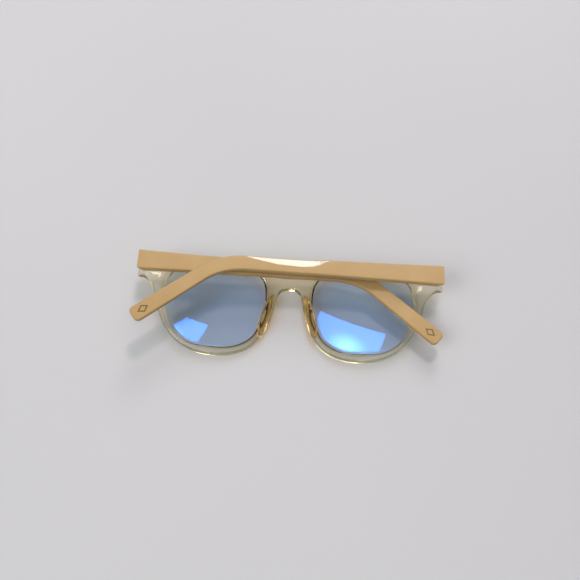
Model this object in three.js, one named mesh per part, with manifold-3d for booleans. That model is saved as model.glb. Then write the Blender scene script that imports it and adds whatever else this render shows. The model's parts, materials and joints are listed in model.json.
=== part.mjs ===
// Folding spectacles with a clear tinted front, plano lenses and flat moulded temples, folded shut.
// Millimetres. +X is the wearer's right, +Y the top of the front, +Z points back towards the wearer.
// The front lies on its outer face at z = 0 with both temples folded over its back.
import * as THREE from "three";
import { mergeVertices } from "three/addons/utils/BufferGeometryUtils.js";
import Module from "manifold-3d";

// Driving dimensions
const HALF_WIDTH = 70.5; // centre to the outer corner of an end piece
const RIM_DEPTH = 4.2; // thickness of the front, front to back
const FLAT_HALF = 14; // the front is flat out to here, then sweeps back
const FACE_RADIUS = 300; // radius of that sweep
const EDGE = 0.45; // rounding of the front's edges
const END_TOP = 20.5;
const END_HEIGHT = 8.9; // of the end piece, at the hinge
const END_CORNER = 1.0;
const END_REACH = 7.2; // pivot axis to the inner side of the end piece's block
const CENTRE_Y = 0.1; // the outline's middle, brought to y = 0 at the end

const LENS_THICK = 1.8;
const LENS_SEAT = 0.5; // how far the lens reaches into the rim's groove
const SEAT_GAP = 0.3; // clearance between lens and groove

const PAD_RADII = [2.7, 10.4, 5.4];
const PAD_LEAN = 0.32; // outward shift for each millimetre of height
const PAD_TURN = 16;
const PAD_X = 9.6;
const PAD_Y = -3.2;
const PAD_SUNK = 0.4; // the pad's widest section, below the rim's back
const PAD_GAP = 0.05;

const PIVOT_X = 65.6;
const PIVOT_Y = 15.9;
const PIVOT_Z = 12.0;
const FACE_GAP = 1.3; // pivot axis to the end piece's back, and to the temple's inner face
const MITRE_FRONT = 50; // degrees below +X of the end piece's mitred face
const MITRE_TEMPLE = 44.5; // the same on the temple, measured with the temple square to the front

const FOLD_RIGHT = 1.8; // degrees the folded right temple climbs away from the front
const FOLD_LEFT = -2.5; // the folded left temple lies under it and dips towards the front

const TEMPLE_THICK = 3.2; // at the hinge
const TIP_THICK = 2.4;
const TAPER_LENGTH = 137; // from the hinge end, along the straight
const BEND_AT = 101.8; // hinge end to the corner of the ear bend
const BEND_DEGREES = 38.5;
const BEND_RADIUS = 32;
const TEMPLE_LENGTH = 147.8; // along the centre line
const TIP_ROUND = 2.3;
const TEMPLE_EDGE = 0.5;

const BARREL_RADIUS = 1.25;
const HINGE_HEIGHT = 6;
const KNUCKLE_GAP = 0.15;
const LEAF_THICK = 0.9;
const LEAF_CLEAR = 0.05; // leaf to the plastic under it
const SCREW_RADIUS = 0.5;
const SCREW_CLEAR = 0.3;
const SCREW_HEAD_RADIUS = 1.0;
const SCREW_HEAD = 0.3;
const PIN_HEAD_RADIUS = 1.15; // the hinge screw's head
const PIN_HEAD = 0.6;
const LEAF_SCREW_Y = 1.8; // leaf screws above and below the hinge's middle
const LEAF_SCREW_LENGTH = 2.6;
const WIRE_RADIUS = 0.5;
const WIRE_FROM = 7; // the core wire's ends, along the temple
const WIRE_TO = 128;
const HOLE_SIDES = 14;

const degrees = THREE.MathUtils.degToRad;

const wasm = await Module();
wasm.setup();

// Materials
function plastic(color, roughness, opacity = 1) {
  return new THREE.MeshStandardMaterial({
    color, roughness, metalness: 0, opacity, transparent: opacity < 1,
  });
}
function metal(color, roughness) {
  return new THREE.MeshStandardMaterial({ color, roughness, metalness: 1 });
}
const MATERIALS = {
  front: () => plastic("#e9dfc0", 0.08, 0.45),
  lens: () => plastic("#dfe6f2", 0.03, 0.3),
  pad: () => plastic("#d8a850", 0.15, 0.6),
  temple: () => plastic("#c8aa78", 0.42),
  hinge: () => metal("#c9c6bf", 0.3),
  screw: () => metal("#b9b6ae", 0.25),
  wire: () => metal("#a9abae", 0.35),
};

// Solids and surfaces
function solid(geometry) {
  const bare = geometry.clone();
  bare.deleteAttribute("normal");
  bare.deleteAttribute("uv");
  const welded = mergeVertices(bare, 1e-4);
  return new wasm.Manifold(new wasm.Mesh({
    numProp: 3,
    vertProperties: new Float32Array(welded.attributes.position.array),
    triVerts: new Uint32Array(welded.index.array),
  }));
}
function surface(body) {
  const { vertProperties, triVerts } = body.getMesh();
  const geometry = new THREE.BufferGeometry();
  geometry.setAttribute("position", new THREE.BufferAttribute(vertProperties, 3));
  geometry.setIndex(new THREE.BufferAttribute(triVerts, 1));
  geometry.computeVertexNormals();
  return geometry;
}
function part(name, body, material) {
  const made = new THREE.Mesh(surface(body), material());
  made.name = name;
  return made;
}
function mirrored(geometry) {
  const copy = geometry.index ? geometry.toNonIndexed() : geometry.clone();
  copy.scale(-1, 1, 1);
  const place = copy.attributes.position;
  for (let i = 0; i < place.count; i += 3) {
    const [b, c] = [i + 1, i + 2].map((k) => new THREE.Vector3().fromBufferAttribute(place, k));
    place.setXYZ(i + 1, c.x, c.y, c.z);
    place.setXYZ(i + 2, b.x, b.y, b.z);
  }
  return copy;
}
function moveVertices(geometry, rule) {
  const place = geometry.attributes.position;
  const point = new THREE.Vector3();
  for (let i = 0; i < place.count; i++) {
    point.fromBufferAttribute(place, i);
    rule(point);
    place.setXYZ(i, point.x, point.y, point.z);
  }
  return geometry;
}
// A round bar along X, Y or Z between two heights on that axis.
function bar(axis, radius, from, to, sides = 20) {
  const made = new THREE.CylinderGeometry(radius, radius, to - from, sides);
  made.translate(0, (from + to) / 2, 0);
  if (axis === "x") made.rotateZ(-Math.PI / 2);
  if (axis === "z") made.rotateX(Math.PI / 2);
  return made;
}
function block(x0, x1, y0, y1, z0, z1) {
  const made = new THREE.BoxGeometry(x1 - x0, y1 - y0, z1 - z0);
  return made.translate((x0 + x1) / 2, (y0 + y1) / 2, (z0 + z1) / 2);
}

// Outlines of the front, right half, seen from behind
const plane = (pairs) => pairs.map(([x, y]) => new THREE.Vector2(x, y));
const TOP_LINE = plane([
  [0, 16.4], [7, 17.1], [13, 20.6], [20, 22.8], [30, 23.5], [42, 23.4], [54, 22.3], [69.5, END_TOP],
]);
const LOWER_LINE = plane([
  [69.5, END_TOP - END_HEIGHT], [67, 11.0], [64.4, 8.6], [62.2, 4.6], [60.6, -1.5], [56.6, -10.8],
  [50, -18.3], [41.5, -22.4], [32, -23.4], [23, -21.9], [16, -18.1], [10.8, -11], [8.2, -3.5],
  [6.2, 3.8], [5.3, 7.2], [3.7, 9.7], [1.7, 10.4], [0, 10.5],
]);
const OPENING_LINE = plane([
  [10.9, 4.5], [12.3, -5], [16.3, -14.4], [24, -19.1], [34.5, -19.9], [45, -18.3], [52.4, -12.4],
  [56.4, -1.5], [57.3, 7], [54.6, 15.3], [46, 19.2], [34, 19.8], [20, 18.7], [12.8, 14],
]);

function frontOutline() {
  const top = new THREE.SplineCurve(TOP_LINE).getSpacedPoints(34);
  const lower = new THREE.SplineCurve(LOWER_LINE).getSpacedPoints(60);
  const r = END_CORNER;
  const cornerAt = (y, from) =>
    new THREE.EllipseCurve(HALF_WIDTH - r, y, r, r, from, from - Math.PI / 2, true).getPoints(3);
  const right = [
    ...top.slice(0, -1), ...cornerAt(END_TOP - r, Math.PI / 2),
    ...cornerAt(END_TOP - END_HEIGHT + r, 0), ...lower.slice(1),
  ];
  const left = right.slice(1, -1).map((p) => new THREE.Vector2(-p.x, p.y)).reverse();
  return [...right, ...left];
}
function openingOutline(grow = 0) {
  const loop = new THREE.CatmullRomCurve3(
    OPENING_LINE.map((p) => new THREE.Vector3(p.x, p.y, 0)), true, "centripetal");
  const points = loop.getSpacedPoints(56).slice(0, -1);
  return points.map((p, i) => {
    const before = points.at(i - 1);
    const after = points[(i + 1) % points.length];
    const along = after.clone().sub(before).normalize();
    return new THREE.Vector2(p.x + grow * -along.y * OPENING_TURN, p.y + grow * along.x * OPENING_TURN);
  });
}
const OPENING_TURN = THREE.ShapeUtils.isClockWise(OPENING_LINE) ? 1 : -1;

// How far the front sweeps back at a distance x from its middle.
function sweep(x) {
  const past = Math.max(0, Math.abs(x) - FLAT_HALF);
  return (past * past) / (2 * FACE_RADIUS);
}
const sweepBack = (geometry) => moveVertices(geometry, (p) => { p.z += sweep(p.x); });

function rounded(shape, z0, z1, edge, steps = 2) {
  const made = new THREE.ExtrudeGeometry(shape, {
    depth: z1 - z0 - 2 * edge,
    bevelThickness: edge,
    bevelSize: edge,
    bevelOffset: -edge,
    bevelSegments: steps,
    curveSegments: 8,
  });
  return made.translate(0, 0, z0 + edge);
}

// A lens or its groove: the opening's outline grown into the rim, at the middle of the rim's depth.
function lensBlank(grow, thickness, edge) {
  const middle = RIM_DEPTH / 2;
  const shape = new THREE.Shape(openingOutline(grow));
  return sweepBack(rounded(shape, middle - thickness / 2, middle + thickness / 2, edge, 1));
}

// The end piece's section across the hinge, from inside the rim outwards, run down its height.
function endPiece() {
  const back = PIVOT_Z - FACE_GAP;
  const inner = PIVOT_X - END_REACH;
  const section = new THREE.Shape(plane([
    [inner - 2, sweep(inner) + 0.8],
    [HALF_WIDTH - 0.3, sweep(HALF_WIDTH) + 0.2],
    [HALF_WIDTH, sweep(HALF_WIDTH) + 0.5],
    [HALF_WIDTH, back],
    [inner + 1, back],
    [inner, back - 0.6],
    [inner - 2, sweep(inner) + RIM_DEPTH - 0.4],
  ]));
  const made = new THREE.ExtrudeGeometry(section, { depth: END_HEIGHT, bevelEnabled: false });
  return made.rotateX(Math.PI / 2).translate(0, END_TOP, 0);
}
// Everything behind the end piece's mitred face, which passes through the pivot axis.
function mitreCut() {
  const made = block(-20, 20, -12, 12, 0, 20).rotateY(degrees(MITRE_FRONT));
  return made.translate(PIVOT_X, PIVOT_Y, PIVOT_Z);
}

const LEAF_SCREW_X = -3.5; // front leaf screws, inwards of the pivot
const LEAF_SCREW_Z = 6.2; // temple leaf screws, back from the pivot
const HOLE_RADIUS = SCREW_RADIUS + SCREW_CLEAR;

function frontFrame() {
  const shape = new THREE.Shape(frontOutline());
  const opening = openingOutline();
  const opposite = opening.map((p) => new THREE.Vector2(-p.x, p.y)).reverse();
  shape.holes.push(new THREE.Path(opening), new THREE.Path(opposite));
  let body = solid(sweepBack(rounded(shape, 0, RIM_DEPTH, EDGE)));
  const grooveWide = LENS_THICK + 2 * SEAT_GAP;
  const groove = lensBlank(LENS_SEAT + SEAT_GAP, grooveWide, 0.5);
  const ends = endPiece();
  const mitre = mitreCut();
  for (const turn of [(g) => g, mirrored]) {
    body = body.add(solid(turn(ends))).subtract(solid(turn(mitre))).subtract(solid(turn(groove)));
    for (const y of [-LEAF_SCREW_Y, LEAF_SCREW_Y]) {
      const hole = bar("z", HOLE_RADIUS, -FACE_GAP - LEAF_SCREW_LENGTH, 0, HOLE_SIDES);
      hole.translate(PIVOT_X + LEAF_SCREW_X, PIVOT_Y + y, PIVOT_Z);
      body = body.subtract(solid(turn(hole)));
    }
  }
  return body;
}

// A nose pad: a leaning half egg on the flat back of the nasal rim.
function nosePad() {
  const pad = new THREE.SphereGeometry(1, 18, 12);
  pad.scale(...PAD_RADII);
  moveVertices(pad, (p) => { p.x += PAD_LEAN * p.z; });
  pad.rotateZ(degrees(PAD_TURN));
  pad.translate(PAD_X, PAD_Y, RIM_DEPTH - PAD_SUNK);
  const keep = block(0, FLAT_HALF + 6, -20, 12, RIM_DEPTH + PAD_GAP, 14);
  return solid(pad).intersect(solid(keep));
}

// Knuckles of one leaf: bands of the barrel's height, each joined to the plate by a tab.
const BANDS = [-1, 0, 1].map((k) => {
  const high = (HINGE_HEIGHT - 2 * KNUCKLE_GAP) / 3;
  const middle = k * (high + KNUCKLE_GAP);
  return [middle - high / 2, middle + high / 2];
});
function frontLeaf() {
  const low = -FACE_GAP + LEAF_CLEAR;
  const high = low + LEAF_THICK;
  let body = solid(block(-5.3, -1.5, -HINGE_HEIGHT / 2, HINGE_HEIGHT / 2, low, high));
  for (const [y0, y1] of [BANDS[0], BANDS[2]]) {
    body = body.add(solid(block(-1.6, 0, y0, y1, low, high)));
    body = body.add(solid(bar("y", BARREL_RADIUS, y0, y1, 24)));
  }
  body = body.subtract(solid(bar("y", HOLE_RADIUS, -4, 4)));
  for (const y of [-LEAF_SCREW_Y, LEAF_SCREW_Y]) {
    const hole = bar("z", HOLE_RADIUS, -3, 1, HOLE_SIDES).translate(LEAF_SCREW_X, y, 0);
    body = body.subtract(solid(hole));
  }
  return body;
}
function templeLeaf() {
  const far = FACE_GAP - LEAF_CLEAR;
  const near = far - LEAF_THICK;
  const [y0, y1] = BANDS[1];
  let body = solid(block(near, far, -HINGE_HEIGHT / 2, HINGE_HEIGHT / 2, 1.5, 8));
  body = body.add(solid(block(near, far, y0, y1, 0, 1.6)));
  body = body.add(solid(bar("y", BARREL_RADIUS, y0, y1, 24)));
  body = body.subtract(solid(bar("y", HOLE_RADIUS, -4, 4)));
  for (const y of [-LEAF_SCREW_Y, LEAF_SCREW_Y]) {
    const hole = bar("x", HOLE_RADIUS, -1, 3, HOLE_SIDES).translate(0, y, LEAF_SCREW_Z);
    body = body.subtract(solid(hole));
  }
  return body;
}

// A screw pointing down its own -Z, its head's underside at z = 0.
function screw(length, headRadius, headHeight) {
  const profile = plane([
    [0, -length], [SCREW_RADIUS * 0.6, -length], [SCREW_RADIUS, -length + 0.25], [SCREW_RADIUS, 0],
    [headRadius, 0], [headRadius, headHeight * 0.6], [headRadius * 0.8, headHeight], [0, headHeight],
  ]);
  const made = new THREE.LatheGeometry(profile, 12).rotateX(Math.PI / 2);
  return solid(made);
}

// Temple centre line: straight, round the ear bend, straight to the tip.
const bendTurn = degrees(BEND_DEGREES);
const bendTangent = BEND_RADIUS * Math.tan(bendTurn / 2);
const bendStart = BEND_AT - bendTangent;
const HINGE_END = -Math.tan(degrees(MITRE_TEMPLE)) * (FACE_GAP + TEMPLE_THICK);
function centreLine(distance) {
  const turn = THREE.MathUtils.clamp((distance - bendStart) / BEND_RADIUS, 0, bendTurn);
  const past = Math.max(0, distance - bendStart - BEND_RADIUS * bendTurn);
  const straight = Math.min(distance, bendStart);
  return {
    along: HINGE_END + straight + BEND_RADIUS * Math.sin(turn) + past * Math.cos(turn),
    up: -BEND_RADIUS * (1 - Math.cos(turn)) - past * Math.sin(turn),
    turn,
  };
}
const HALF_HEIGHTS = [[-1, 4.7], [22, 4.15], [60, 3.65], [95, 3.45], [108, 3.3], [TEMPLE_LENGTH, 3.65]];
function halfHeight(distance) {
  const next = HALF_HEIGHTS.findIndex(([at]) => at >= distance);
  const [a, ha] = HALF_HEIGHTS[Math.max(0, next - 1)];
  const [b, hb] = HALF_HEIGHTS[Math.max(1, next)];
  return THREE.MathUtils.mapLinear(distance, a, b, ha, hb);
}
function templeThickness(along) {
  const far = HINGE_END + TAPER_LENGTH;
  return THREE.MathUtils.mapLinear(along, HINGE_END, far, TEMPLE_THICK, TIP_THICK);
}
function edgePoint(distance, side) {
  const { along, up, turn } = centreLine(distance);
  const half = side * halfHeight(distance);
  return new THREE.Vector2(along + half * Math.sin(turn), up + half * Math.cos(turn));
}
function templeOutline() {
  const stations = [-1, 6, 14, 22, 32, 46, 60, 72];
  for (let s = 84; s < 117; s += 2.5) stations.push(s);
  stations.push(124, 134, TEMPLE_LENGTH - TIP_ROUND);
  const top = stations.map((s) => edgePoint(s, 1));
  const bottom = stations.map((s) => edgePoint(s, -1)).reverse();
  const { along, up, turn } = centreLine(TEMPLE_LENGTH - TIP_ROUND);
  const half = halfHeight(TEMPLE_LENGTH) - TIP_ROUND;
  const tip = [];
  for (let k = 1; k <= 8; k++) {
    const swing = Math.PI / 2 - (k * Math.PI) / 9;
    const across = Math.sign(swing) * half + TIP_ROUND * Math.sin(swing);
    const ahead = TIP_ROUND * Math.cos(swing);
    tip.push(new THREE.Vector2(
      along + ahead * Math.cos(turn) + across * Math.sin(turn),
      up - ahead * Math.sin(turn) + across * Math.cos(turn)));
  }
  return [...top, ...tip, ...bottom];
}
function wire(radius, from, to) {
  const points = [];
  for (let s = from; s < to; s += 6) points.push(s);
  points.push(to);
  const path = new THREE.CatmullRomCurve3(points.map((s) => {
    const { along, up } = centreLine(s);
    return new THREE.Vector3(FACE_GAP + templeThickness(along) / 2, up, along);
  }));
  const circle = new THREE.Shape().absarc(0, 0, radius, 0, 2 * Math.PI);
  return new THREE.ExtrudeGeometry(circle, {
    extrudePath: path, steps: 20, bevelEnabled: false, curveSegments: 4,
  });
}
function templeBody() {
  const outline = new THREE.Shape(templeOutline());
  const bare = rounded(outline, -FACE_GAP - TEMPLE_THICK, -FACE_GAP, TEMPLE_EDGE);
  bare.rotateY(-Math.PI / 2);
  moveVertices(bare, (p) => {
    p.x = FACE_GAP + (p.x - FACE_GAP) * (templeThickness(p.z) / TEMPLE_THICK);
  });
  const mitre = block(-20, 20, -10, 10, -20, 0).rotateY(degrees(MITRE_TEMPLE));
  let body = solid(bare).subtract(solid(mitre));
  body = body.subtract(solid(wire(WIRE_RADIUS + SCREW_CLEAR, -3, WIRE_TO + SCREW_CLEAR)));
  for (const y of [-LEAF_SCREW_Y, LEAF_SCREW_Y]) {
    const hole = bar("x", HOLE_RADIUS, 0, LEAF_SCREW_LENGTH, HOLE_SIDES);
    body = body.subtract(solid(hole.translate(0, y, LEAF_SCREW_Z)));
  }
  return body;
}

// One side: the fixed hinge half, and the temple with its own half, turned to where it rests.
function side(name, folded) {
  const fixed = new THREE.Group();
  fixed.position.set(PIVOT_X, PIVOT_Y, PIVOT_Z);
  fixed.add(part(`${name}_front_hinge`, frontLeaf(), MATERIALS.hinge));
  const pin = part(`${name}_hinge_screw`, screw(HINGE_HEIGHT + 0.1, PIN_HEAD_RADIUS, PIN_HEAD),
    MATERIALS.screw);
  pin.rotation.x = -Math.PI / 2;
  pin.position.y = HINGE_HEIGHT / 2 + LEAF_CLEAR;
  fixed.add(pin);

  const temple = new THREE.Group();
  temple.add(part(`${name}_temple`, templeBody(), MATERIALS.temple));
  temple.add(part(`${name}_temple_hinge`, templeLeaf(), MATERIALS.hinge));
  temple.add(part(`${name}_core_wire`, solid(wire(WIRE_RADIUS, WIRE_FROM, WIRE_TO)),
    MATERIALS.wire));
  for (const [label, y] of [["lower", -LEAF_SCREW_Y], ["upper", LEAF_SCREW_Y]]) {
    const fastener = () => screw(LEAF_SCREW_LENGTH - 0.4, SCREW_HEAD_RADIUS, SCREW_HEAD);
    const inFront = part(`${name}_front_screw_${label}`, fastener(), MATERIALS.screw);
    inFront.position.set(LEAF_SCREW_X, y, -FACE_GAP + LEAF_THICK + 2 * LEAF_CLEAR);
    fixed.add(inFront);
    const inTemple = part(`${name}_temple_screw_${label}`, fastener(), MATERIALS.screw);
    inTemple.position.set(FACE_GAP - LEAF_THICK - 2 * LEAF_CLEAR, y, LEAF_SCREW_Z);
    inTemple.rotation.y = -Math.PI / 2;
    temple.add(inTemple);
  }
  temple.rotation.y = -degrees(90 - folded);
  fixed.add(temple);

  const all = new THREE.Group();
  all.add(fixed);
  all.add(part(`${name}_lens`, solid(lensBlank(LENS_SEAT, LENS_THICK, 0.4)), MATERIALS.lens));
  all.add(part(`${name}_nose_pad`, nosePad(), MATERIALS.pad));
  return all;
}

const glasses = new THREE.Group();
glasses.position.y = -CENTRE_Y;
glasses.add(part("front_frame", frontFrame(), MATERIALS.front));
const right = side("right", FOLD_RIGHT);
const left = side("left", FOLD_LEFT);
left.scale.x = -1;
glasses.add(right, left);

export default glasses;
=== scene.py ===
"""Looks for folding glasses: clear tinted front, coated lenses, amber nose pads, satin tan temples."""
import json
import math

import bmesh
import bpy
import numpy as np
from mathutils import Matrix, Vector
from mathutils.geometry import delaunay_2d_cdt


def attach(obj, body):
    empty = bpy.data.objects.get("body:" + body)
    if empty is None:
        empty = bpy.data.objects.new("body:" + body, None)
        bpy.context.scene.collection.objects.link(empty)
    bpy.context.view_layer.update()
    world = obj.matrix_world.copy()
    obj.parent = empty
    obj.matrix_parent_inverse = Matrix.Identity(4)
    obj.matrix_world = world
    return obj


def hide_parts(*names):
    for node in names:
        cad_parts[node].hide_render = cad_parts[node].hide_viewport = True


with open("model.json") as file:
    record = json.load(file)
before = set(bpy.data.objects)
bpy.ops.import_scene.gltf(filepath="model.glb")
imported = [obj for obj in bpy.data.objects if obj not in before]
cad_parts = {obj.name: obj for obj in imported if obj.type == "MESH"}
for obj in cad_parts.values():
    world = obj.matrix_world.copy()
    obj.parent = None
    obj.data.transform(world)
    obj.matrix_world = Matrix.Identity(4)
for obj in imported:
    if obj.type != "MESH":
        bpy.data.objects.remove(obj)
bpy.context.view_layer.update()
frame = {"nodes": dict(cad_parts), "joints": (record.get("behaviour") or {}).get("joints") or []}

MM = 0.001
SIDES = {"right": 1, "left": -1}

# The front, in millimetres, drawn flat with +Y toward the brow
HALF_WIDTH = 70.5
RIM_DEPTH = 4.2
FLAT_HALF = 14  # the outer face is flat this far from the middle
FACE_RADIUS = 300  # and swept back at this radius past it
END_TOP = 20.5
END_HEIGHT = 8.9
END_CORNER = 1.0
BLOCK_INBOARD = (9.2, 5.6)  # inboard of the pivot axis, where the end piece starts and stops thickening
BLOCK_HEIGHTS = (10.4, 12.6)  # the same, up from the outline's middle
DOWN_Y = 0.1  # the outlines are drawn this far above their place
ROUND = 0.95  # rounding of the rims' edges
ROUND_SHARE = 0.42  # a rounding takes up no more than this share of the local depth
STEP_DEEP = 0.3  # the back is this much lower round each lens
STEP_TOP = 1.25  # where the step back up ends, out from the opening
STEP_CLEAR_OF_SHADE = 0.35  # share of the inner tint that the step ring keeps, the rest being painted shade, a thin golden line
EDGE_SHADE_FADE = (0.1, 0.8)  # painted shade: a darker golden tint along every edge of the front, in place of the dark lines that refraction draws there, fades out between these depths
MITRE_FRONT = math.radians(50)
FACE_GAP = 1.3  # pivot axis to the end piece's back and to the temple's inner face
OUTLINE_STEP = 0.8  # spacing of the points along the outlines
GRID_STEP = 1.15  # mesh spacing inside the outlines
GRID_ROWS = 0.87  # rows of the grid, in steps
GRID_HALF = (71, 24)
GRID_GAP = 0.45  # between the grid and the points that follow the outlines

TOP_LINE = [
    (0, 16.4), (7, 17.1), (13, 20.6), (20, 22.8), (30, 23.5), (42, 23.4), (54, 22.3), (69.5, END_TOP),
]
LOWER_LINE = [
    (69.5, END_TOP - END_HEIGHT), (67, 11.0), (64.4, 8.6), (62.2, 4.6), (60.6, -1.5), (56.6, -10.8),
    (50, -18.3), (41.5, -22.4), (32, -23.4), (23, -21.9), (16, -18.1), (10.8, -11), (8.2, -3.5),
    (6.2, 3.8), (5.3, 7.2), (3.7, 9.7), (1.7, 10.4), (0, 10.5),
]
OPENING_LINE = [
    (10.9, 4.5), (12.3, -5), (16.3, -14.4), (24, -19.1), (34.5, -19.9), (45, -18.3), (52.4, -12.4),
    (56.4, -1.5), (57.3, 7), (54.6, 15.3), (46, 19.2), (34, 19.8), (20, 18.7), (12.8, 14),
]

# The lens: a shallow bowl that follows the rim
LENS_MIDDLE = np.array([34.0, 0.0])
LENS_RADIUS = 178
LENS_BACKSET = 2.1  # height at its middle, at mid thickness
LENS_SLOPE = 0.03
LENS_THICK = 1.8
LENS_EDGE = 1.2
LENS_BEVEL = 0.04  # the lens thins over this share of the way from its edge to its middle
LENS_SEAT = 0.5  # how far it reaches into the rim
LENS_STEP = 0.7  # spacing of the points round its edge
GROOVE_DEEP = 0.7
GROOVE_MOUTH = 0.2  # the groove is this much wider than the lens's edge on each side, where it opens
GROOVE_PLAY = 0.05  # and this much at its bottom

# The nose pads, in millimetres
PAD_RADII = (2.25, 10.6, 4.9)  # half width, half length and height
PAD_PLACE = (9.75, -3.2)
PAD_TURN = 16  # degrees
PAD_LEAN = 0.24  # sideways for each millimetre of height
PAD_HOLLOW = 0.3
PAD_SUNK = 0.02  # into the rim, so that no gap shows
PAD_STEPS = (56, 20)  # round the pad and up it
PAD_WIDTH_POWERS = (0.9, 1.2)  # how full the width stays, round the pad and up to its crest
PAD_LENGTH_POWERS = (0.95, 0.7)  # the same for its length
PAD_HEIGHT_POWER = 0.9

# The temple, in millimetres, square to the front with the pivot axis at the origin
FOLDED = {"right": 1.8, "left": -2.5}  # degrees each folded temple climbs away from the front
TEMPLE_LENGTH = 147.8
TEMPLE_THICK = 3.2
TIP_THICK = 2.4
TAPER_LENGTH = 137  # the thickness goes from one to the other along this length
MITRE_TEMPLE = math.radians(44.5)
MITRE_GAP = 0.06  # keeps the open temple's end clear of the front
MITRE_REACH = 9.0  # the mitre's slant fades out over this length
HINGE_END = -math.tan(MITRE_TEMPLE) * (FACE_GAP + TEMPLE_THICK)
HINGE_SOFT = 0.22  # the mitred end is drawn in by this much
HINGE_SOFT_LENGTH = 0.3
HINGE_HALF = 4.7
# Distances from the hinge end, with the half height there and with how far the facet reaches down
HALF_HEIGHTS = [(-1, HINGE_HALF), (22, 4.15), (60, 3.65), (95, 3.45), (108, 3.3), (TEMPLE_LENGTH, 3.65)]
SCOOP = [(51.5, 0), (54.5, 1.2), (57, 2.7), (60, 3.7), (65, 4.2), (76, 3.6), (86, 1.6), (93, 0)]
BEND_AT = 101.8
BEND_TURN = math.radians(38.5)
BEND_RADIUS = 32
TIP_ROUND = 2.3
TEMPLE_SOFT = 0.55  # rounding of the temple's long edges
SCOOP_SLOPE = 0.27  # the facet falls away inward by this share of its width
SCOOP_REACH = 0.4  # the facet stops at this share of the thickness, from the inner face
OUTER_STEPS = 12  # points of a section up the outer face, to the facet
FACET_STEPS = 8  # across the facet
INNER_STEPS = 8  # down the inner face
CORNER_STEPS = 6  # and round each corner

# The mark near each temple's tip, in millimetres
MARK_AT = 142.2
MARK_LONG = 2.8
MARK_HIGH = 1.9
MARK_INNER = 0.62  # its opening, as a share of its size
MARK_LIFTS = (-0.1, 0.03)  # its back and its face, from the temple's outer face

PIVOT = {}
for joint in frame["joints"]:
    name = "right" if joint["pos_m"][0] > 0 else "left"
    PIVOT[name] = np.array(joint["pos_m"]) / MM


# Meshes

def new_mesh(name, points, faces, sharp, kinds=None, clear_of_edge_shade=None):
    """An object with its place in its mesh, from points in millimetres.

    kinds gives each face's material, and the last argument each point's share of the plastic's inner tint,
    the rest being painted edge shade.
    """
    mesh = bpy.data.meshes.new(name)
    mesh.from_pydata([tuple(p) for p in np.asarray(points, float) * MM], [], [tuple(f) for f in faces])
    if kinds is not None:
        mesh.polygons.foreach_set("material_index", kinds)
    if clear_of_edge_shade is not None:
        mesh.attributes.new("clear_of_edge_shade", "FLOAT", "POINT").data.foreach_set("value", clear_of_edge_shade)
    mesh.validate()
    shaped = bmesh.new()
    shaped.from_mesh(mesh)
    bmesh.ops.remove_doubles(shaped, verts=shaped.verts, dist=1e-7)
    bmesh.ops.recalc_face_normals(shaped, faces=shaped.faces)
    shaped.to_mesh(mesh)
    shaped.free()
    mesh.shade_smooth()
    mesh.set_sharp_from_angle(angle=math.radians(sharp))
    made = bpy.data.objects.new(name, mesh)
    bpy.context.scene.collection.objects.link(made)
    return made


def piece(made, body, slot, *nodes):
    """Ties a finished object to its body and hides the CAD nodes it stands for. The slot argument is not
    used.
    """
    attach(made, body)
    if nodes:
        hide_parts(*nodes)
    return made


def catmull_rom(points, closed, alpha):
    """A smooth line through the points. An alpha of 0 spaces its knots evenly, 0.5 by their distances."""
    each = 30
    knots = np.array(points, float)
    count = len(knots)
    line = []
    for i in range(count if closed else count - 1):
        if closed:
            p0, p1, p2, p3 = (knots[(i + k) % count] for k in (-1, 0, 1, 2))
        else:
            p0, p1, p2, p3 = (knots[min(max(i + k, 0), count - 1)] for k in (-1, 0, 1, 2))
        pairs = ((p0, p1), (p1, p2), (p2, p3))
        d0, d1, d2 = (max(np.linalg.norm(b - a), 1e-9) ** alpha for a, b in pairs)
        m1 = ((p1 - p0) / d0 - (p2 - p0) / (d0 + d1) + (p2 - p1) / d1) * d1
        m2 = ((p2 - p1) / d1 - (p3 - p1) / (d1 + d2) + (p3 - p2) / d2) * d1
        for t in np.arange(each) / each:
            line.append(
                (2 * t**3 - 3 * t**2 + 1) * p1 + (t**3 - 2 * t**2 + t) * m1
                + (3 * t**2 - 2 * t**3) * p2 + (t**3 - t**2) * m2
            )
    if not closed:
        line.append(knots[-1])
    return np.array(line)


def even_steps(line, step, closed):
    """The line's points again, equally far apart."""
    path = np.vstack([line, line[:1]]) if closed else line
    walked = np.concatenate([[0], np.cumsum(np.linalg.norm(np.diff(path, axis=0), axis=1))])
    count = max(4, round(walked[-1] / step))
    at = np.linspace(0, walked[-1], count + 1)
    even = np.column_stack([np.interp(at, walked, path[:, k]) for k in range(2)])
    return even[:-1] if closed else even


def front_outline():
    top = even_steps(catmull_rom(TOP_LINE, False, 0), OUTLINE_STEP, False)
    lower = even_steps(catmull_rom(LOWER_LINE, False, 0), OUTLINE_STEP, False)
    x = HALF_WIDTH - END_CORNER
    arcs = []
    for y, start in ((END_TOP - END_CORNER, 90), (END_TOP - END_HEIGHT + END_CORNER, 0)):
        turn = np.radians(np.linspace(start, start - 90, 7))
        arcs.append(np.column_stack([x + END_CORNER * np.cos(turn), y + END_CORNER * np.sin(turn)]))
    upright = np.linspace(arcs[0][-1], arcs[1][0], 10)[1:-1]
    right = np.vstack([top[:-1], arcs[0], upright, arcs[1], lower[1:]])
    left = (right[1:-1] * (-1, 1))[::-1]
    return np.vstack([right, left])


def opening_outline(step=OUTLINE_STEP):
    return even_steps(catmull_rom(OPENING_LINE, True, 0.5), step, True)


def outward(loop):
    """Unit normals that point out of a closed loop."""
    along = np.roll(loop, -1, axis=0) - np.roll(loop, 1, axis=0)
    along /= np.linalg.norm(along, axis=1)[:, None]
    area = np.sum(loop[:, 0] * np.roll(loop[:, 1], -1) - loop[:, 1] * np.roll(loop[:, 0], -1))
    return np.column_stack([along[:, 1], -along[:, 0]]) * np.sign(area)


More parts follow.
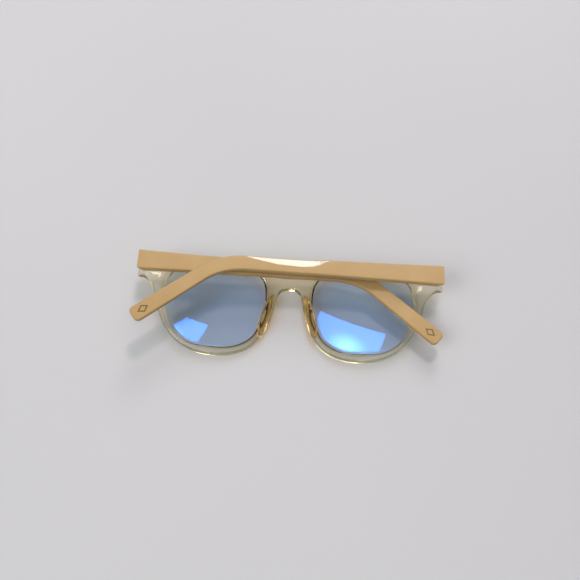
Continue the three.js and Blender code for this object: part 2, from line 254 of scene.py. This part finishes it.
def distance_to(points, loops):
    """Each point's distance to the nearest of the closed loops, worked out in batches."""
    batch = 500
    near = np.full(len(points), np.inf)
    for loop in loops:
        a, b = loop, np.roll(loop, -1, axis=0)
        run = b - a
        length = np.sum(run * run, axis=1)
        for chunk in np.array_split(np.arange(len(points)), max(1, len(points) // batch)):
            gap = points[chunk][:, None, :] - a[None]
            t = np.clip(np.sum(gap * run[None], axis=2) / length[None], 0, 1)
            off = gap - t[..., None] * run[None]
            near[chunk] = np.minimum(near[chunk], np.sqrt(np.sum(off * off, axis=2)).min(axis=1))
    return near


def inside(points, loop):
    """Which of the points lie inside a closed loop."""
    a, b = loop, np.roll(loop, -1, axis=0)
    x, y = points[:, 0:1], points[:, 1:2]
    spans = (a[None, :, 1] > y) != (b[None, :, 1] > y)
    rise = np.where(b[:, 1] == a[:, 1], 1e-12, b[:, 1] - a[:, 1])
    crossing = a[None, :, 0] + (y - a[None, :, 1]) * ((b - a)[:, 0] / rise)[None]
    return (np.sum(spans & (x < crossing), axis=1) % 2) == 1


def smooth(low, high, value):
    """0 below low, 1 above high, and an S between them."""
    t = np.clip((value - low) / (high - low), 0, 1)
    return t * t * (3 - 2 * t)


# The clear front

def sweep(x):
    """Height of the outer face where it is swept back."""
    past = np.maximum(0, np.abs(x) - FLAT_HALF)
    return past * past / (2 * FACE_RADIUS)


def lens_height(x, y):
    """Mid thickness of the lens at a distance x from the front's middle."""
    across = np.abs(x) - LENS_MIDDLE[0]
    return LENS_BACKSET + LENS_SLOPE * across + (across**2 + (y - LENS_MIDDLE[1]) ** 2) / (2 * LENS_RADIUS)


def front_back(x, y, depth, from_lens):
    """Heights of the front's outer face and back, by the distances from any edge and from an opening."""
    pivot = PIVOT["right"]
    face = sweep(x)
    back = face + RIM_DEPTH
    block = pivot[2] - FACE_GAP
    start, full = (pivot[0] - inboard for inboard in BLOCK_INBOARD)
    share = smooth(start, full, np.abs(x)) * smooth(*BLOCK_HEIGHTS, y)
    back = back + (block - back) * share - STEP_DEEP * (1 - smooth(ROUND, STEP_TOP, from_lens))
    mitre = pivot[2] - math.tan(MITRE_FRONT) * (np.abs(x) - pivot[0])
    back = np.minimum(back, mitre)
    edge = np.minimum(ROUND, ROUND_SHARE * (back - face))
    inward = np.clip(edge - depth, 0, None)
    drop = edge - np.sqrt(np.maximum(edge**2 - inward**2, 0))
    return face + drop, back - drop


def front_frame():
    """The outline and both openings, filled by a grid, lifted to both faces and walled along every loop."""
    outline = front_outline()
    opening = opening_outline()
    other = (opening * (-1, 1))[::-1]
    loops = [outline, opening, other]
    normals = [-outward(outline), outward(opening), outward(other)]
    rings = [ROUND * (1 - math.cos(math.radians(a))) for a in (22.5, 45, 67.5, 90)] + [STEP_TOP]

    flat = np.vstack(loops)
    extra = []
    for loop, into in zip(loops, normals):
        for depth in rings:
            extra.append(loop + into * depth)
    extra = np.vstack(extra)
    depths = np.concatenate([np.full(len(loop), d) for loop in loops for d in rings])
    # Where two outlines come close, points that lie nearer to the other one are left out
    crowded = distance_to(extra, loops) <= 0.93 * depths
    extra = extra[~crowded]
    reach_x, reach_y = GRID_HALF
    grid = np.array([
        (x + (GRID_STEP / 2) * (row % 2), y)
        for row, y in enumerate(np.arange(-reach_y, reach_y, GRID_STEP * GRID_ROWS))
        for x in np.arange(-reach_x, reach_x, GRID_STEP)
    ])
    held = inside(grid, outline) & ~inside(grid, opening) & ~inside(grid, other)
    grid = grid[held]
    grid = grid[distance_to(grid, loops) > STEP_TOP + GRID_GAP]
    points = np.vstack([flat, extra, grid])

    edges = []
    start = 0
    for loop in loops:
        count = len(loop)
        edges += [(start + i, start + (i + 1) % count) for i in range(count)]
        start += count
    made = delaunay_2d_cdt([Vector(p) for p in points], edges, [], 0, 1e-6, True)
    spots = np.array([tuple(v) for v in made[0]])
    faces = np.array([f for f in made[2] if len(f) == 3])
    middles = spots[faces].mean(axis=1)
    kept = inside(middles, outline) & ~inside(middles, opening) & ~inside(middles, other)
    faces = faces[kept]
    index = {}
    for new, olds in enumerate(made[3]):
        for old in olds:
            index[old] = new

    depth = distance_to(spots, loops)
    from_lens = distance_to(spots, loops[1:])
    face, back = front_back(spots[:, 0], spots[:, 1], depth, from_lens)
    count = len(spots)
    vertices = [np.column_stack([spots, face]), np.column_stack([spots, back])]
    polygons = [tuple(f) for f in faces] + [tuple(f[::-1] + count) for f in faces]
    start = 0
    for number, (loop, into) in enumerate(zip(loops, normals)):
        rim = [index[start + i] for i in range(len(loop))]
        start += len(loop)
        rows = [np.array(rim)]
        if number:
            middle = lens_height(loop[:, 0], loop[:, 1])
            mouth = LENS_EDGE / 2 + GROOVE_MOUTH
            bottom = LENS_EDGE / 2 + GROOVE_PLAY
            for deep, rise in ((0, -mouth), (GROOVE_DEEP, -bottom), (GROOVE_DEEP, bottom), (0, mouth)):
                base = sum(len(v) for v in vertices)
                vertices.append(np.column_stack([loop + into * deep, middle + rise]))
                rows.append(base + np.arange(len(loop)))
        rows.append(np.array(rim) + count)
        for low, high in zip(rows, rows[1:]):
            for i in range(len(loop)):
                j = (i + 1) % len(loop)
                polygons.append((low[i], low[j], high[j], high[i]))
    vertices = np.vstack(vertices)
    vertices[:, 1] -= DOWN_Y
    # Painted shade: every edge and wall of the front gets a darker golden tint that fades to the plain tint
    # inside
    clear_of_edge_shade = np.zeros(len(vertices))
    clear = smooth(*EDGE_SHADE_FADE, depth)
    clear_of_edge_shade[:count] = clear
    # Painted shade: the back's step ring round each lens gets more of the darker tint, drawing a golden
    # line
    shaded_step_ring = np.abs(from_lens - (ROUND + STEP_TOP) / 2) < STEP_TOP - ROUND
    clear_of_edge_shade[count: 2 * count] = np.where(shaded_step_ring, STEP_CLEAR_OF_SHADE * clear, clear)
    return new_mesh("front_clear", vertices, polygons, sharp=40, clear_of_edge_shade=clear_of_edge_shade)


def lens(side):
    """A polar grid from the lens's middle to its edge, over both faces."""
    sign = SIDES[side]
    edge = opening_outline(LENS_STEP)
    edge = edge + outward(edge) * LENS_SEAT
    shares = list(np.linspace(0, 1 - LENS_BEVEL, 20)) + [0.975, 0.985, 0.993, 1.0]
    count = len(edge)
    vertices = []
    for back in (False, True):
        for share in shares:
            ring = LENS_MIDDLE + (edge - LENS_MIDDLE) * share
            half = (LENS_EDGE + (LENS_THICK - LENS_EDGE) * smooth(0, LENS_BEVEL, 1 - share)) / 2
            height = lens_height(ring[:, 0], ring[:, 1]) + (half if back else -half)
            vertices.append(np.column_stack([ring, height]))
    rows = np.arange(len(vertices) * count).reshape(len(vertices), count)
    last = len(shares) - 1
    order = list(rows[: last + 1]) + list(rows[last + 1:][::-1])
    polygons = []
    for low, high in zip(order, order[1:]):
        for i in range(count):
            j = (i + 1) % count
            polygons.append((low[i], low[j], high[j], high[i]))
    vertices = np.vstack(vertices)
    vertices[:, 0] *= sign
    vertices[:, 1] -= DOWN_Y
    return new_mesh(f"{side}_lens_glass", vertices, polygons, sharp=40)


def nose_pad(side):
    """A slender leaning fin with a rounded crest that stands on the flat back of the nasal rim."""
    sign = SIDES[side]
    around, up = PAD_STEPS
    wide, long, high = PAD_RADII
    width_round, width_up = PAD_WIDTH_POWERS
    length_round, length_up = PAD_LENGTH_POWERS
    vertices = []
    for k in range(up + 1):
        rise = math.radians(90 * k / up)
        for i in range(around):
            turn = 2 * math.pi * i / around
            c, s = math.cos(turn), math.sin(turn)
            x = wide * math.copysign(abs(c) ** width_round, c) * math.cos(rise) ** width_up
            y = long * math.copysign(abs(s) ** length_round, s) * math.cos(rise) ** length_up
            z = high * math.sin(rise) ** PAD_HEIGHT_POWER
            hollow = PAD_HOLLOW * (x > 0) * math.sin(2 * rise) ** 2 * c * c
            vertices.append((x - hollow + PAD_LEAN * z, y, z))
    vertices = np.array(vertices)
    lean = math.radians(PAD_TURN)
    x = vertices[:, 0] * math.cos(lean) - vertices[:, 1] * math.sin(lean)
    y = vertices[:, 0] * math.sin(lean) + vertices[:, 1] * math.cos(lean)
    base = RIM_DEPTH - PAD_SUNK
    x = sign * (x + PAD_PLACE[0])
    y = y + PAD_PLACE[1] - DOWN_Y
    vertices = np.column_stack([x, y, vertices[:, 2] + base])
    polygons = [tuple(range(around))]
    for k in range(up):
        for i in range(around):
            j = (i + 1) % around
            a, b = k * around, (k + 1) * around
            polygons.append((a + i, a + j, b + j, b + i))
    return new_mesh(f"{side}_amber_pad", vertices, polygons, sharp=50)


# The temples

def centre_line(distance):
    """The place (along, up) and the turn of the temple's centre line at a distance from its hinge end."""
    tangent = BEND_RADIUS * math.tan(BEND_TURN / 2)
    start = BEND_AT - tangent
    turn = min(max((distance - start) / BEND_RADIUS, 0), BEND_TURN)
    past = max(0, distance - start - BEND_RADIUS * BEND_TURN)
    along = HINGE_END + min(distance, start) + BEND_RADIUS * math.sin(turn) + past * math.cos(turn)
    rise = -BEND_RADIUS * (1 - math.cos(turn)) - past * math.sin(turn)
    return along, rise, turn


def half_height(distance):
    return float(np.interp(distance, *zip(*HALF_HEIGHTS)))


def thickness(along):
    return float(np.interp(along, (HINGE_END, HINGE_END + TAPER_LENGTH), (TEMPLE_THICK, TIP_THICK)))


def scoop_width(distance):
    """How far the long hollow facet reaches down the outer face from its top edge."""
    return float(np.interp(distance, *zip(*SCOOP)))


def corner(out, height, soft, start):
    """Points round a quarter circle that starts at an angle in degrees, both ends included."""
    turn = np.radians(np.linspace(start, start + 90, CORNER_STEPS))
    return [(out + soft * math.cos(a), height + soft * math.sin(a)) for a in turn]


def section(distance):
    """One ring round the temple, as points (out from the pivot, up)."""
    along, _, _ = centre_line(distance)
    half = half_height(distance)
    thick = thickness(along)
    end = TEMPLE_LENGTH - distance
    if end < TIP_ROUND:
        half = half - TIP_ROUND + math.sqrt(max(TIP_ROUND**2 - (TIP_ROUND - end) ** 2, 0))
    soft = TEMPLE_SOFT
    pinch = 0.0
    if end < soft:
        pinch = soft - math.sqrt(max(soft**2 - (soft - end) ** 2, 0))
    low, high = FACE_GAP + pinch, FACE_GAP + thick - pinch
    soft = min(soft, (high - low) / 2 * 0.95)
    crease = min(half - scoop_width(distance), half - soft)
    ring = [(high, height) for height in np.linspace(-half + soft, crease, OUTER_STEPS)]
    ring += [(high, height) for height in np.linspace(crease, half - soft, FACET_STEPS)[1:]]
    ring += corner(high - soft, half - soft, soft, 0)[1:]
    ring += corner(low + soft, half - soft, soft, 90)
    ring += [(low, height) for height in np.linspace(half - soft, -half + soft, INNER_STEPS)[1:-1]]
    ring += corner(low + soft, -half + soft, soft, 180)
    ring += corner(high - soft, -half + soft, soft, 270)[:-1]
    inner = low + (high - low) * SCOOP_REACH
    carved = []
    for out, height in ring:
        past = max(0, height - (half - scoop_width(distance))) if out > inner else 0
        carved.append((out - past * SCOOP_SLOPE, height))
    return carved


def folded(side, points):
    """Points of the temple, square to the front, turned to where it rests folded."""
    turn = -math.radians(90 - FOLDED[side])
    out, up, along = np.asarray(points, float).T
    x = out * math.cos(turn) + along * math.sin(turn)
    z = -out * math.sin(turn) + along * math.cos(turn)
    pivot = PIVOT[side]
    return np.column_stack([pivot[0] + SIDES[side] * x, pivot[1] + up, pivot[2] + z])


def temple(side):
    """Sections along the centre line, closest together along the facet and at both ends.

    The faces of the facet take the second material, glossier and painted lighter as a sheen.
    """
    near = [0, 0.12, HINGE_SOFT_LENGTH, 0.7, 1.4, 2.5, 4, 6, MITRE_REACH]
    far = list(np.arange(10.2, 50, 1.4)) + list(np.arange(50, 97, 0.5)) + list(np.arange(97, 145, 1.1))
    to_tip = (TIP_ROUND, 1.9, 1.5, 1.1, 0.8, TEMPLE_SOFT, 0.38, 0.22, 0.1, 0.03, 0)
    ends = [TEMPLE_LENGTH - left for left in to_tip]
    rows = []
    cut = []
    for distance in near + far + ends:
        along, rise, turn = centre_line(distance)
        ring = []
        for out, height in section(distance):
            at = along + height * math.sin(turn)
            if distance < MITRE_REACH:
                pinch = HINGE_SOFT * (1 - min(1, distance / HINGE_SOFT_LENGTH)) ** 2
                out = out + pinch * (1 if out < FACE_GAP + TEMPLE_THICK / 2 else -1)
                height = height * (1 - pinch / HINGE_HALF)
                mitre = MITRE_GAP - math.tan(MITRE_TEMPLE) * out
                at = mitre + (HINGE_END + MITRE_REACH - mitre) * distance / MITRE_REACH
            ring.append((out, rise + height * math.cos(turn), at))
        rows.append(ring)
        cut.append(scoop_width(distance) > 0)
    count = len(rows[0])
    facet = range(OUTER_STEPS - 1, OUTER_STEPS + FACET_STEPS - 2)
    polygons = []
    kinds = []
    for k in range(len(rows) - 1):
        a, b = k * count, (k + 1) * count
        for i in range(count):
            j = (i + 1) % count
            polygons.append((a + i, a + j, b + j, b + i))
            kinds.append(int((cut[k] or cut[k + 1]) and i in facet))
    polygons.append(tuple(range(count)))
    polygons.append(tuple(range((len(rows) - 1) * count, len(rows) * count)))
    points = folded(side, np.vstack([np.array(r) for r in rows]))
    return new_mesh(f"{side}_temple_shell", points, polygons, sharp=32, kinds=kinds + [0, 0])


def tip_mark(side):
    """A small plain lozenge near the tip, a hair proud of the outer face."""
    turns = np.radians((0, 90, 180, 270))
    points = []
    for lift in MARK_LIFTS:
        for share in (1.0, MARK_INNER):
            for turn in turns:
                along, rise, bend = centre_line(MARK_AT + MARK_LONG * share * math.cos(turn))
                height = MARK_HIGH * share * math.sin(turn)
                out = FACE_GAP + thickness(along) + lift
                points.append((out, rise + height * math.cos(bend), along + height * math.sin(bend)))
    polygons = []
    for i in range(4):
        j = (i + 1) % 4
        polygons += [(8 + i, 8 + j, 12 + j, 12 + i), (4 + i, 4 + j, j, i)]
        polygons += [(i, j, 8 + j, 8 + i), (12 + i, 12 + j, 4 + j, 4 + i)]
    return new_mesh(f"{side}_tip_mark", folded(side, points), polygons, sharp=30)


# Materials

NOISE_BAND = (0.3, 0.7)  # nearly all of a noise texture's values lie between these
ACRYLIC_IOR = 1.49
LENS_IOR = 1.56


def node_material(name):
    made = bpy.data.materials.new(name)
    made.use_nodes = True
    tree = made.node_tree
    return made, tree, tree.nodes["Principled BSDF"], tree.nodes["Material Output"]


def noise(tree, scale, detail, rough=0.5, stretch=None):
    """A noise texture over the object's own coordinates, in metres."""
    where = tree.nodes.new("ShaderNodeTexCoord")
    texture = tree.nodes.new("ShaderNodeTexNoise")
    texture.inputs["Scale"].default_value = scale
    texture.inputs["Detail"].default_value = detail
    texture.inputs["Roughness"].default_value = rough
    if stretch is None:
        tree.links.new(where.outputs["Object"], texture.inputs["Vector"])
    else:
        mapping = tree.nodes.new("ShaderNodeMapping")
        mapping.inputs["Scale"].default_value = stretch
        tree.links.new(where.outputs["Object"], mapping.inputs["Vector"])
        tree.links.new(mapping.outputs["Vector"], texture.inputs["Vector"])
    return texture.outputs["Fac"]


def ramp(tree, value, stops):
    """A colour that follows a value through stops of (value, colour)."""
    made = tree.nodes.new("ShaderNodeValToRGB")
    band = made.color_ramp
    while len(band.elements) < len(stops):
        band.elements.new(0.5)
    for element, (at, color) in zip(band.elements, stops):
        element.position = at
        element.color = (*color, 1)
    tree.links.new(value, made.inputs["Fac"])
    return made.outputs["Color"]


def blend_colors(tree, value, dark, light):
    low, high = NOISE_BAND
    return ramp(tree, value, [(low, dark), (high, light)])


def span(tree, value, low, high):
    """A number between low and high that follows a noise texture."""
    made = tree.nodes.new("ShaderNodeMapRange")
    for key, number in zip(("From Min", "From Max", "To Min", "To Max"), (*NOISE_BAND, low, high)):
        made.inputs[key].default_value = number
    tree.links.new(value, made.inputs["Value"])
    return made.outputs["Result"]


def bump(tree, height, shader, distance, strength):
    made = tree.nodes.new("ShaderNodeBump")
    made.inputs["Strength"].default_value = strength
    made.inputs["Distance"].default_value = distance
    tree.links.new(height, made.inputs["Height"])
    tree.links.new(made.outputs["Normal"], shader.inputs["Normal"])


def let_lamps_through(tree, shader, output, tint):
    """Light on its way to what is behind passes straight through, tinted, in place of noisy caustics."""
    path = tree.nodes.new("ShaderNodeLightPath")
    either = tree.nodes.new("ShaderNodeMath")
    either.operation = "MAXIMUM"
    tree.links.new(path.outputs["Is Shadow Ray"], either.inputs[0])
    tree.links.new(path.outputs["Is Diffuse Ray"], either.inputs[1])
    open_way = tree.nodes.new("ShaderNodeBsdfTransparent")
    open_way.inputs["Color"].default_value = (*tint, 1)
    mix = tree.nodes.new("ShaderNodeMixShader")
    tree.links.new(either.outputs["Value"], mix.inputs["Fac"])
    tree.links.new(shader.outputs["BSDF"], mix.inputs[1])
    tree.links.new(open_way.outputs["BSDF"], mix.inputs[2])
    tree.links.new(mix.outputs["Shader"], output.inputs["Surface"])


def clear_plastic(name, tint, depth_tint, density, roughness, shadow, edge=None):
    """Tinted acrylic. Where edge is given, it is a painted shade colour that the mesh's attribute blends to
    the tint, darkest along the front's edges.
    """
    made, tree, shader, output = node_material(name)
    shader.inputs["Base Color"].default_value = (*tint, 1)
    if edge:
        clear_of_edge_shade = tree.nodes.new("ShaderNodeAttribute")
        clear_of_edge_shade.attribute_name = "clear_of_edge_shade"
        color = ramp(tree, clear_of_edge_shade.outputs["Fac"], [(0.0, edge), (1.0, tint)])
        tree.links.new(color, shader.inputs["Base Color"])
    shader.inputs["Transmission Weight"].default_value = 1.0
    shader.inputs["IOR"].default_value = ACRYLIC_IOR
    wear = noise(tree, 900, 3)
    tree.links.new(span(tree, wear, roughness * 0.6, roughness * 1.6), shader.inputs["Roughness"])
    bump(tree, noise(tree, 260, 1), shader, distance=0.02 * MM, strength=0.35)
    volume = tree.nodes.new("ShaderNodeVolumeAbsorption")
    volume.inputs["Color"].default_value = (*depth_tint, 1)
    volume.inputs["Density"].default_value = density
    tree.links.new(volume.outputs["Volume"], output.inputs["Volume"])
    let_lamps_through(tree, shader, output, shadow)
    return made


def front_plastic():
    # edge is the painted shade colour along the front's edges
    return clear_plastic(
        "clear_front", tint=(1.0, 0.99, 0.95), depth_tint=(1.0, 0.9, 0.6), density=60,
        roughness=0.02, shadow=(0.88, 0.865, 0.8), edge=(0.6, 0.51, 0.27),
    )


def pad_plastic():
    return clear_plastic(
        "amber_pad", tint=(1.0, 0.93, 0.68), depth_tint=(1.0, 0.8, 0.36), density=200,
        roughness=0.025, shadow=(0.88, 0.78, 0.5),
    )


def lens_resin():
    """Clear resin whose coat throws back blue."""
    made, tree, shader, output = node_material("lens")
    shader.inputs["Base Color"].default_value = (0.76, 0.83, 0.93, 1)
    shader.inputs["Transmission Weight"].default_value = 1.0
    shader.inputs["IOR"].default_value = LENS_IOR
    shader.inputs["Specular Tint"].default_value = (0.025, 0.24, 1.0, 1)
    shader.inputs["Specular IOR Level"].default_value = 0.14
    wear = noise(tree, 400, 3)
    tree.links.new(span(tree, wear, 0.0, 0.012), shader.inputs["Roughness"])
    let_lamps_through(tree, shader, output, (0.76, 0.82, 0.9))
    return made


def temple_plastic(name, dark, light, roughness, specular):
    """Opaque plastic with a faint broad mottle and a fine grain."""
    made, tree, shader, _ = node_material(name)
    broad = noise(tree, 60, 3, 0.55)
    tree.links.new(blend_colors(tree, broad, dark, light), shader.inputs["Base Color"])
    grain = noise(tree, 5200, 3, 0.6)
    tree.links.new(span(tree, grain, roughness - 0.06, roughness + 0.06), shader.inputs["Roughness"])
    bump(tree, grain, shader, distance=0.03 * MM, strength=0.25)
    shader.inputs["Specular IOR Level"].default_value = specular
    return made


def brushed_metal(name, dark, light, stretch):
    """Metal with fine lines, drawn out by stretch."""
    made, tree, shader, _ = node_material(name)
    shader.inputs["Metallic"].default_value = 1.0
    lines = noise(tree, 2500, 4, 0.6, stretch)
    tree.links.new(blend_colors(tree, lines, dark, light), shader.inputs["Base Color"])
    tree.links.new(span(tree, lines, 0.2, 0.38), shader.inputs["Roughness"])
    bump(tree, lines, shader, distance=0.01 * MM, strength=0.3)
    return made


def floor_paint():
    made, tree, shader, _ = node_material("floor_paper")
    color = blend_colors(tree, noise(tree, 3, 2), (0.61, 0.615, 0.62), (0.64, 0.645, 0.65))
    tree.links.new(color, shader.inputs["Base Color"])
    shader.inputs["Roughness"].default_value = 0.85
    return made


def finish_metal(node, material):
    """A CAD metal piece with its own material, welded, eased along its edges and shaded round."""
    made = frame["nodes"][node]
    made.data.materials.clear()
    made.data.materials.append(material)
    weld = made.modifiers.new("weld", "WELD")
    weld.merge_threshold = 0.001 * MM
    ease = made.modifiers.new("ease", "BEVEL")
    ease.width = 0.06 * MM
    ease.segments = 2
    ease.limit_method = "ANGLE"
    ease.angle_limit = math.radians(40)
    ease.harden_normals = True
    made.data.shade_smooth()


# Camera, light and floor

def look_from(name, target, azimuth, elevation, distance, roll, lens_mm):
    """A camera that looks at the target from a direction, all angles in degrees."""
    a, e = math.radians(azimuth), math.radians(elevation)
    away = Vector((math.sin(a) * math.cos(e), -math.cos(a) * math.cos(e), math.sin(e)))
    data = bpy.data.cameras.new(name)
    data.lens = lens_mm
    data.clip_start = 0.01
    made = bpy.data.objects.new(name, data)
    bpy.context.scene.collection.objects.link(made)
    turn = away.to_track_quat("Z", "Y").to_matrix().to_4x4()
    place = Matrix.Translation(Vector(target) + away * distance)
    made.matrix_world = place @ turn @ Matrix.Rotation(math.radians(roll), 4, "Z")
    return made


def soft_light(name, place, size, power):
    """A square panel aimed at the origin."""
    data = bpy.data.lights.new(name, "AREA")
    data.shape = "RECTANGLE"
    data.size = size
    data.size_y = size
    data.energy = power
    made = bpy.data.objects.new(name, data)
    made.location = place
    made.rotation_euler = (-Vector(place)).to_track_quat("-Z", "Y").to_euler()
    bpy.context.scene.collection.objects.link(made)


def glow_spot(tree, middle):
    """Makes a lamp's panel brighter round a spot on it, given as shares of its width and height."""
    where = tree.nodes.new("ShaderNodeNewGeometry")
    glow = tree.nodes.new("ShaderNodeVectorMath")
    glow.operation = "DISTANCE"
    glow.inputs[1].default_value = (*middle, 0)
    tree.links.new(where.outputs["Parametric"], glow.inputs[0])
    stops = [(0.0, (10, 4.8, 4.3)), (0.1, (4.4, 2.9, 2.7)), (0.3, (0.7, 0.8, 0.84))]
    shine = ramp(tree, glow.outputs["Value"], stops)
    tree.links.new(shine, tree.nodes["Emission"].inputs["Color"])


def window(name, azimuth, elevation, distance, turn, across, upward, spot, radiance):
    """A flat soft panel that faces the origin, given by its edges' places on its own plane.

    Its angles are in radians, and its azimuth runs from +Y toward +X.
    """
    level_out = math.cos(elevation)
    away = Vector((math.sin(azimuth) * level_out, math.cos(azimuth) * level_out, math.sin(elevation)))
    level = Vector((0, 0, 1)).cross(away).normalized()
    steep = away.cross(level)
    side = level * math.cos(turn) + steep * math.sin(turn)
    top = steep * math.cos(turn) - level * math.sin(turn)
    data = bpy.data.lights.new(name, "AREA")
    data.shape = "RECTANGLE"
    data.size = across[1] - across[0]
    data.size_y = upward[1] - upward[0]
    data.energy = radiance * math.pi * data.size * data.size_y
    data.use_nodes = True
    glow_spot(data.node_tree, spot)
    made = bpy.data.objects.new(name, data)
    middle = away * distance + side * sum(across) / 2 + top * sum(upward) / 2
    made.matrix_world = Matrix.Translation(middle) @ Matrix((side, top, away)).transposed().to_4x4()
    bpy.context.scene.collection.objects.link(made)


def sky():
    """Pale at the horizon, dark a little above it and pale again overhead, in greys."""
    world = bpy.data.worlds.new("studio")
    world.use_nodes = True
    tree = world.node_tree
    where = tree.nodes.new("ShaderNodeTexCoord")
    split = tree.nodes.new("ShaderNodeSeparateXYZ")
    tree.links.new(where.outputs["Generated"], split.inputs["Vector"])
    greys = ramp(tree, split.outputs["Z"], [
        (0.0, (0.56, 0.565, 0.575)), (0.16, (0.56, 0.565, 0.575)), (0.34, (0.13, 0.135, 0.14)),
        (0.6, (0.3, 0.305, 0.32)), (1.0, (0.5, 0.505, 0.52)),
    ])
    tree.links.new(greys, tree.nodes["Background"].inputs["Color"])
    bpy.context.scene.world = world


def floor():
    """A square of pale paper, a tenth of a millimetre under the glasses."""
    wide = 6.0
    corners = [(-wide, -wide, 0), (wide, -wide, 0), (wide, wide, 0), (-wide, wide, 0)]
    mesh = bpy.data.meshes.new("floor")
    mesh.from_pydata(corners, [], [(0, 1, 2, 3)])
    made = bpy.data.objects.new("floor", mesh)
    made.data.materials.append(floor_paint())
    made.location.z = -0.1 * MM
    bpy.context.scene.collection.objects.link(made)


camera = look_from(
    "camera", target=(0.00017, 0.01142, 0), azimuth=0.376, elevation=66.37, distance=0.4046,
    roll=2.765, lens_mm=53.47,
)
bpy.context.scene.camera = camera
bpy.context.scene.view_settings.view_transform = "Standard"
sky()
window(
    "key", azimuth=-0.232, elevation=1.0098, distance=1.977, turn=-0.527,
    across=(-0.702, -0.218), upward=(-0.33, 0.1), spot=(0.56, 0.53), radiance=14.5,
)
soft_light("rim", place=(0.1, 1.1, 0.8), size=0.5, power=5.5)
soft_light("fill", place=(-0.9, -0.5, 1.1), size=0.9, power=8)
floor()

front = piece(front_frame(), "front", "clear_front", "front_frame")
front.data.materials.append(front_plastic())
resin = lens_resin()
amber = pad_plastic()
tan = temple_plastic(
    "tan_temple", dark=(0.49, 0.32, 0.125), light=(0.54, 0.36, 0.15), roughness=0.44, specular=0.32,
)
# Painted sheen: a glossier copy of the tan for the scooped facet, its lighter colour standing in for the
# sheen of light on it
polished_sheen_paint = temple_plastic(
    "tan_polished_painted_sheen", dark=(0.74, 0.62, 0.43), light=(0.8, 0.69, 0.5), roughness=0.16, specular=0.6,
)
gilt = temple_plastic(
    "gilt_mark", dark=(0.16, 0.095, 0.02), light=(0.22, 0.135, 0.03), roughness=0.3, specular=0.5,
)
hinge_metal = brushed_metal("hinge_metal", (0.56, 0.54, 0.5), (0.74, 0.72, 0.68), stretch=(1, 12, 1))
screw_metal = brushed_metal("screw_metal", (0.5, 0.49, 0.46), (0.8, 0.78, 0.74), stretch=(6, 6, 1))
wire_metal = brushed_metal("wire_metal", (0.5, 0.51, 0.52), (0.68, 0.69, 0.7), stretch=(1, 1, 1))
for side in SIDES:
    glass = piece(lens(side), "front", "lens", f"{side}_lens")
    glass.data.materials.append(resin)
    pad = piece(nose_pad(side), "front", "amber_pad", f"{side}_nose_pad")
    pad.data.materials.append(amber)
    shell = piece(temple(side), f"{side}_temple", "tan_temple", f"{side}_temple")
    shell.data.materials.append(tan)
    shell.data.materials.append(polished_sheen_paint)
    mark = piece(tip_mark(side), f"{side}_temple", "tan_temple")
    mark.data.materials.append(gilt)
    for node in (f"{side}_front_hinge", f"{side}_temple_hinge"):
        finish_metal(node, hinge_metal)
    leaves = [f"{side}_{leaf}_screw" for leaf in ("front", "temple")]
    screws = [f"{leaf}_{level}" for leaf in leaves for level in ("lower", "upper")]
    for node in [f"{side}_hinge_screw"] + screws:
        finish_metal(node, screw_metal)
    finish_metal(f"{side}_core_wire", wire_metal)
